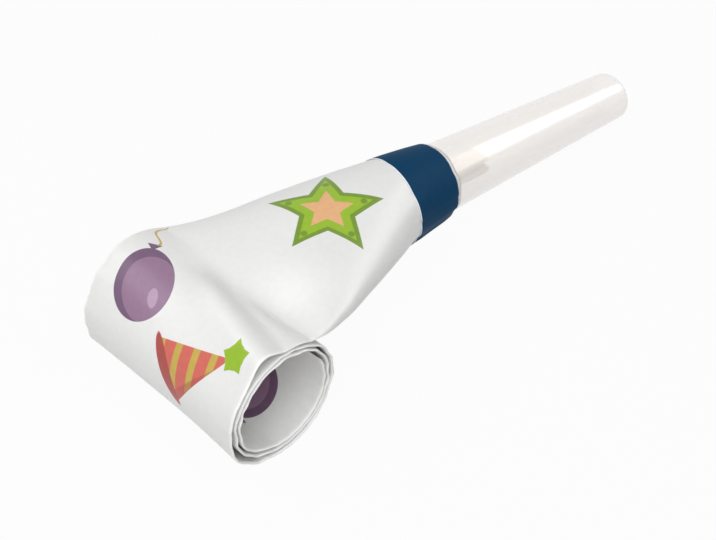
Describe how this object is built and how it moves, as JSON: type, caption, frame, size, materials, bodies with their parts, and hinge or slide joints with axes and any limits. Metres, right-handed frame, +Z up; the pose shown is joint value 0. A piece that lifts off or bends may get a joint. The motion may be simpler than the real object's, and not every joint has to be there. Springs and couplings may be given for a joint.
{
  "type": "party blower",
  "caption": "Party horn blower: tapered white mouthpiece with a reed inside, navy collar and a printed flat paper tube that unrolls when blown and curls back.",
  "frame": {"origin": "on the table, below the middle of the horn's length and width, as the horn lies on its roll and on the lower rim of its mouth", "axes": "+Z up from the table, +X towards the mouth end along the horn, +Y along the axis of the paper roll"},
  "size_m": [0.1202, 0.038, 0.0251],
  "materials": {
    "mouthpiece_plastic": "white, slightly translucent moulded plastic, glossy",
    "reed_plastic": "white moulded plastic",
    "reed_film": "thin stiff film",
    "printed_paper": "white coated paper with a loose coloured print",
    "navy_paper": "navy printed paper band with thin white edges",
    "strip_plastic": "springy curled film"
  },
  "bodies": {
    "horn": {"mouthpiece": "mouthpiece_plastic", "reed_block": "reed_plastic", "reed_wedge": "reed_plastic", "reed_root": "reed_film", "paper_neck": "printed_paper", "collar_band": "navy_paper", "paper_segment_01": "printed_paper", "curl_strip_01": "strip_plastic"},
    "roll_02": {"paper_segment_02": "printed_paper", "curl_strip_02": "strip_plastic"},
    "roll_03": {"paper_segment_03": "printed_paper", "curl_strip_03": "strip_plastic"},
    "roll_04": {"paper_segment_04": "printed_paper", "curl_strip_04": "strip_plastic"},
    "roll_05": {"paper_segment_05": "printed_paper", "curl_strip_05": "strip_plastic"},
    "roll_06": {"paper_segment_06": "printed_paper", "curl_strip_06": "strip_plastic"},
    "roll_07": {"paper_segment_07": "printed_paper", "curl_strip_07": "strip_plastic"},
    "roll_08": {"paper_segment_08": "printed_paper", "curl_strip_08": "strip_plastic"},
    "roll_09": {"paper_segment_09": "printed_paper", "curl_strip_09": "strip_plastic"},
    "roll_10": {"paper_segment_10": "printed_paper", "curl_strip_10": "strip_plastic"},
    "roll_11": {"paper_segment_11": "printed_paper", "curl_strip_11": "strip_plastic"},
    "roll_12": {"paper_segment_12": "printed_paper", "curl_strip_12": "strip_plastic"},
    "roll_13": {"paper_segment_13": "printed_paper", "curl_strip_13": "strip_plastic"},
    "roll_14": {"paper_segment_14": "printed_paper", "curl_strip_14": "strip_plastic"},
    "roll_15": {"paper_segment_15": "printed_paper", "curl_strip_15": "strip_plastic"},
    "roll_16": {"paper_segment_16": "printed_paper", "curl_strip_16": "strip_plastic"},
    "roll_17": {"paper_segment_17": "printed_paper", "curl_strip_17": "strip_plastic"},
    "roll_18": {"paper_segment_18": "printed_paper", "curl_strip_18": "strip_plastic"},
    "roll_19": {"paper_segment_19": "printed_paper", "curl_strip_19": "strip_plastic"},
    "roll_20": {"paper_segment_20": "printed_paper", "curl_strip_20": "strip_plastic"},
    "roll_21": {"paper_segment_21": "printed_paper", "curl_strip_21": "strip_plastic"},
    "roll_22": {"paper_segment_22": "printed_paper", "curl_strip_22": "strip_plastic"},
    "roll_23": {"paper_segment_23": "printed_paper", "curl_strip_23": "strip_plastic"},
    "roll_24": {"paper_segment_24": "printed_paper", "curl_strip_24": "strip_plastic"},
    "roll_25": {"paper_segment_25": "printed_paper", "curl_strip_25": "strip_plastic", "tip_seal": "printed_paper"},
    "reed": {"reed_tongue": "reed_film"}
  },
  "joints": [
    {"name": "unroll_01", "type": "hinge", "parent": "horn", "child": "roll_02", "pos_m": [-0.05031, 0, 0.02346], "axis": [0, 1, 0], "range_deg": [0, 41.76], "stiffness_Nm_per_rad": 0.00075, "springref_deg": -28.65},
    {"name": "unroll_02", "type": "hinge", "parent": "roll_02", "child": "roll_03", "pos_m": [-0.05759, 0, 0.01899], "axis": [0, 1, 0], "range_deg": [0, 41.76], "stiffness_Nm_per_rad": 0.00075, "springref_deg": -28.65},
    {"name": "unroll_03", "type": "hinge", "parent": "roll_03", "child": "roll_04", "pos_m": [-0.06003, 0, 0.01088], "axis": [0, 1, 0], "range_deg": [0, 41.76], "stiffness_Nm_per_rad": 0.00075, "springref_deg": -28.65},
    {"name": "unroll_04", "type": "hinge", "parent": "roll_04", "child": "roll_05", "pos_m": [-0.05648, 0, 0.00328], "axis": [0, 1, 0], "range_deg": [0, 41.76], "stiffness_Nm_per_rad": 0.00075, "springref_deg": -28.65},
    {"name": "unroll_05", "type": "hinge", "parent": "roll_05", "child": "roll_06", "pos_m": [-0.04884, 0, 0.00001], "axis": [0, 1, 0], "range_deg": [0, 41.76], "stiffness_Nm_per_rad": 0.00075, "springref_deg": -28.65},
    {"name": "unroll_06", "type": "hinge", "parent": "roll_06", "child": "roll_07", "pos_m": [-0.04103, 0, 0.00263], "axis": [0, 1, 0], "range_deg": [0, 41.76], "stiffness_Nm_per_rad": 0.00075, "springref_deg": -28.65},
    {"name": "unroll_07", "type": "hinge", "parent": "roll_07", "child": "roll_08", "pos_m": [-0.037, 0, 0.00971], "axis": [0, 1, 0], "range_deg": [0, 41.76], "stiffness_Nm_per_rad": 0.00075, "springref_deg": -28.65},
    {"name": "unroll_08", "type": "hinge", "parent": "roll_08", "child": "roll_09", "pos_m": [-0.03869, 0, 0.01761], "axis": [0, 1, 0], "range_deg": [0, 41.76], "stiffness_Nm_per_rad": 0.00075, "springref_deg": -28.65},
    {"name": "unroll_09", "type": "hinge", "parent": "roll_09", "child": "roll_10", "pos_m": [-0.04514, 0, 0.02233], "axis": [0, 1, 0], "range_deg": [0, 41.76], "stiffness_Nm_per_rad": 0.00075, "springref_deg": -28.65},
    {"name": "unroll_10", "type": "hinge", "parent": "roll_10", "child": "roll_11", "pos_m": [-0.05302, 0, 0.02156], "axis": [0, 1, 0], "range_deg": [0, 41.76], "stiffness_Nm_per_rad": 0.00075, "springref_deg": -28.65},
    {"name": "unroll_11", "type": "hinge", "parent": "roll_11", "child": "roll_12", "pos_m": [-0.05833, 0, 0.01579], "axis": [0, 1, 0], "range_deg": [0, 41.76], "stiffness_Nm_per_rad": 0.00075, "springref_deg": -28.65},
    {"name": "unroll_12", "type": "hinge", "parent": "roll_12", "child": "roll_13", "pos_m": [-0.05845, 0, 0.00803], "axis": [0, 1, 0], "range_deg": [0, 41.76], "stiffness_Nm_per_rad": 0.00075, "springref_deg": -28.65},
    {"name": "unroll_13", "type": "hinge", "parent": "roll_13", "child": "roll_14", "pos_m": [-0.05342, 0, 0.00222], "axis": [0, 1, 0], "range_deg": [0, 41.76], "stiffness_Nm_per_rad": 0.00075, "springref_deg": -28.65},
    {"name": "unroll_14", "type": "hinge", "parent": "roll_14", "child": "roll_15", "pos_m": [-0.04588, 0, 0.00125], "axis": [0, 1, 0], "range_deg": [0, 41.76], "stiffness_Nm_per_rad": 0.00075, "springref_deg": -28.65},
    {"name": "unroll_15", "type": "hinge", "parent": "roll_15", "child": "roll_16", "pos_m": [-0.03967, 0, 0.0055], "axis": [0, 1, 0], "range_deg": [0, 41.76], "stiffness_Nm_per_rad": 0.00075, "springref_deg": -28.65},
    {"name": "unroll_16", "type": "hinge", "parent": "roll_16", "child": "roll_17", "pos_m": [-0.03789, 0, 0.01273], "axis": [0, 1, 0], "range_deg": [0, 41.76], "stiffness_Nm_per_rad": 0.00075, "springref_deg": -28.65},
    {"name": "unroll_17", "type": "hinge", "parent": "roll_17", "child": "roll_18", "pos_m": [-0.04134, 0, 0.01924], "axis": [0, 1, 0], "range_deg": [0, 41.76], "stiffness_Nm_per_rad": 0.00075, "springref_deg": -28.65},
    {"name": "unroll_18", "type": "hinge", "parent": "roll_18", "child": "roll_19", "pos_m": [-0.04818, 0, 0.02177], "axis": [0, 1, 0], "range_deg": [0, 41.76], "stiffness_Nm_per_rad": 0.00075, "springref_deg": -28.65},
    {"name": "unroll_19", "type": "hinge", "parent": "roll_19", "child": "roll_20", "pos_m": [-0.05489, 0, 0.01913], "axis": [0, 1, 0], "range_deg": [0, 41.76], "stiffness_Nm_per_rad": 0.00075, "springref_deg": -28.65},
    {"name": "unroll_20", "type": "hinge", "parent": "roll_20", "child": "roll_21", "pos_m": [-0.05811, 0, 0.01277], "axis": [0, 1, 0], "range_deg": [0, 41.76], "stiffness_Nm_per_rad": 0.00075, "springref_deg": -28.65},
    {"name": "unroll_21", "type": "hinge", "parent": "roll_21", "child": "roll_22", "pos_m": [-0.05628, 0, 0.00595], "axis": [0, 1, 0], "range_deg": [0, 41.76], "stiffness_Nm_per_rad": 0.00075, "springref_deg": -28.65},
    {"name": "unroll_22", "type": "hinge", "parent": "roll_22", "child": "roll_23", "pos_m": [-0.05045, 0, 0.00213], "axis": [0, 1, 0], "range_deg": [0, 41.76], "stiffness_Nm_per_rad": 0.00075, "springref_deg": -28.65},
    {"name": "unroll_23", "type": "hinge", "parent": "roll_23", "child": "roll_24", "pos_m": [-0.04363, 0, 0.00314], "axis": [0, 1, 0], "range_deg": [0, 41.76], "stiffness_Nm_per_rad": 0.00075, "springref_deg": -28.65},
    {"name": "unroll_24", "type": "hinge", "parent": "roll_24", "child": "roll_25", "pos_m": [-0.03927, 0, 0.00839], "axis": [0, 1, 0], "range_deg": [0, 41.76], "stiffness_Nm_per_rad": 0.00075, "springref_deg": -28.65},
    {"name": "reed_beat", "type": "hinge", "parent": "horn", "child": "reed", "pos_m": [0.00368, 0, 0.01477], "axis": [0, -1, 0], "range_deg": [-3.5, 3], "stiffness_Nm_per_rad": 0.0002}
  ],
  "couplings": [
    {"joint": "unroll_02", "follows": "unroll_01", "ratio": 1},
    {"joint": "unroll_03", "follows": "unroll_01", "ratio": 1},
    {"joint": "unroll_04", "follows": "unroll_01", "ratio": 1},
    {"joint": "unroll_05", "follows": "unroll_01", "ratio": 1},
    {"joint": "unroll_06", "follows": "unroll_01", "ratio": 1},
    {"joint": "unroll_07", "follows": "unroll_01", "ratio": 1},
    {"joint": "unroll_08", "follows": "unroll_01", "ratio": 1},
    {"joint": "unroll_09", "follows": "unroll_01", "ratio": 1},
    {"joint": "unroll_10", "follows": "unroll_01", "ratio": 1},
    {"joint": "unroll_11", "follows": "unroll_01", "ratio": 1},
    {"joint": "unroll_12", "follows": "unroll_01", "ratio": 1},
    {"joint": "unroll_13", "follows": "unroll_01", "ratio": 1},
    {"joint": "unroll_14", "follows": "unroll_01", "ratio": 1},
    {"joint": "unroll_15", "follows": "unroll_01", "ratio": 1},
    {"joint": "unroll_16", "follows": "unroll_01", "ratio": 1},
    {"joint": "unroll_17", "follows": "unroll_01", "ratio": 1},
    {"joint": "unroll_18", "follows": "unroll_01", "ratio": 1},
    {"joint": "unroll_19", "follows": "unroll_01", "ratio": 1},
    {"joint": "unroll_20", "follows": "unroll_01", "ratio": 1},
    {"joint": "unroll_21", "follows": "unroll_01", "ratio": 1},
    {"joint": "unroll_22", "follows": "unroll_01", "ratio": 1},
    {"joint": "unroll_23", "follows": "unroll_01", "ratio": 1},
    {"joint": "unroll_24", "follows": "unroll_01", "ratio": 1}
  ]
}
